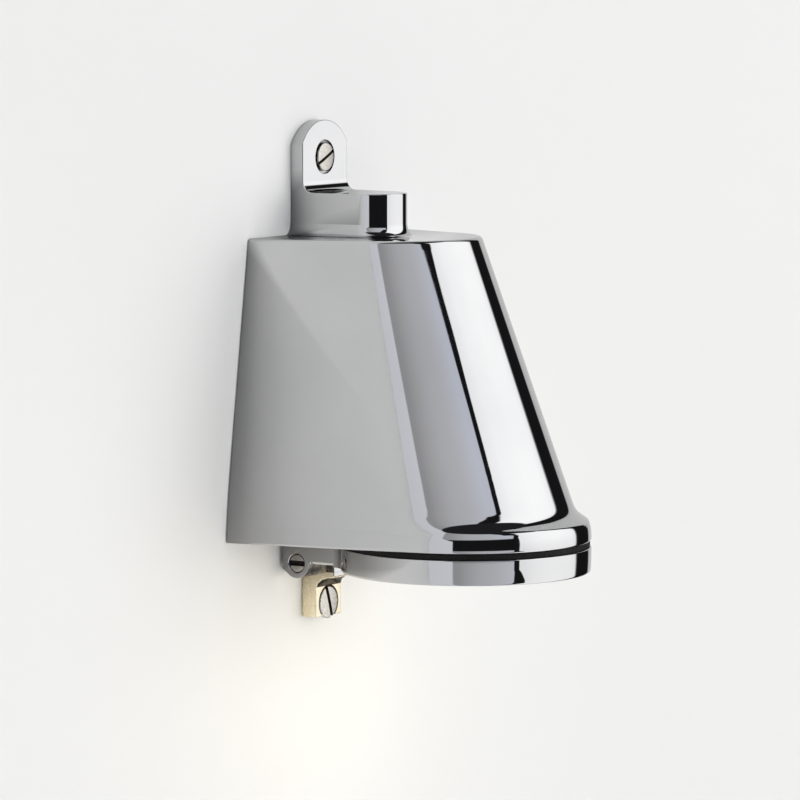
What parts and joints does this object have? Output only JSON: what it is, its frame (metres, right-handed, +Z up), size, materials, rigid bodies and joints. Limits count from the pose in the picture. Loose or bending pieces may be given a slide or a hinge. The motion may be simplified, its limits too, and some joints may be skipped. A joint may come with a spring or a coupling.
{
  "type": "spreader light",
  "caption": "Wall-mounted down light: cast body with a flat back and a rounded flaring nose, hinged glazed ring underneath, lug above and tab below for the wall screws.",
  "frame": {"origin": "on the wall plane, on the light's middle line, midway between the two wall screws; it is also the axis of the cable entry", "axes": "+Z up the wall, -Y out of the wall towards the light's nose, +X to the right seen from the front"},
  "size_m": [0.094, 0.11, 0.1515],
  "materials": {
    "chrome_casting": "mirror-polished chrome plate on cast brass",
    "plated_sheet": "zinc-plated sheet, dull",
    "seal_rubber": "matt black rubber",
    "steel_screw": "zinc-plated, turned",
    "nickel_screw": "nickel-plated brass, fine turning marks",
    "spring_steel": "blued spring steel",
    "lamp_wire": "bright wire",
    "lamp_filament": "tungsten coil, glowing warm",
    "terminal_plastic": "moulded, off-white",
    "brass_part": "turned, bare",
    "tinned_copper": "tinned",
    "ceramic": "glazed steatite, off-white",
    "spun_aluminium": "spun and brightened",
    "turned_aluminium": "turned, satin",
    "lamp_glass": "clear fused glass",
    "lens_glass": "acid-frosted pressed glass",
    "lead_brown": "silicone-sleeved lead",
    "lead_blue": "silicone-sleeved lead",
    "lead_green_yellow": "green and yellow lead"
  },
  "bodies": {
    "housing": {"body": "chrome_casting", "back_plate": "plated_sheet", "back_plate_seal": "seal_rubber", "back_plate_screws": "steel_screw", "cable_grommet": "seal_rubber", "terminal_block": "terminal_plastic", "terminal_inserts": "brass_part", "terminal_screws": "steel_screw", "terminal_block_screws": "steel_screw", "earth_screw": "brass_part", "earth_tag": "tinned_copper", "lampholder_bracket": "plated_sheet", "bracket_screws": "steel_screw", "lampholder": "ceramic", "lampholder_contacts": "brass_part", "lampholder_screws": "steel_screw", "reflector": "spun_aluminium", "reflector_ring": "ceramic", "lamp_capsule": "lamp_glass", "lamp_pins": "lamp_wire", "lamp_filament": "lamp_filament", "lead_live": "lead_brown", "lead_neutral": "lead_blue", "lead_earth": "lead_green_yellow", "ring_seal": "seal_rubber", "wall_screw_upper": "nickel_screw", "wall_screw_lower": "nickel_screw"},
    "lens_ring": {"lens_ring": "chrome_casting", "lens_seal": "seal_rubber", "lens_glass": "lens_glass", "lens_retainer": "turned_aluminium", "hinge_pin": "nickel_screw"},
    "closing_clip": {"closing_clip": "spring_steel"},
    "closing_screw": {"closing_screw": "nickel_screw"}
  },
  "joints": [
    {"name": "ring_hinge", "type": "hinge", "parent": "housing", "child": "lens_ring", "pos_m": [0, -0.0062, -0.0538], "axis": [1, 0, 0], "range_deg": [0, 80]},
    {"name": "closing_screw_travel", "type": "slide", "parent": "lens_ring", "child": "closing_clip", "axis": [0, 0, -1], "range_m": [0, 0.005]},
    {"name": "closing_screw_turn", "type": "hinge", "parent": "closing_clip", "child": "closing_screw", "pos_m": [0, -0.0881, -0.0502], "axis": [0, 0, -1], "range_deg": [0, 3600]}
  ],
  "couplings": [
    {"joint": "closing_screw_turn", "follows": "closing_screw_travel", "rad_per_m": 12566}
  ]
}
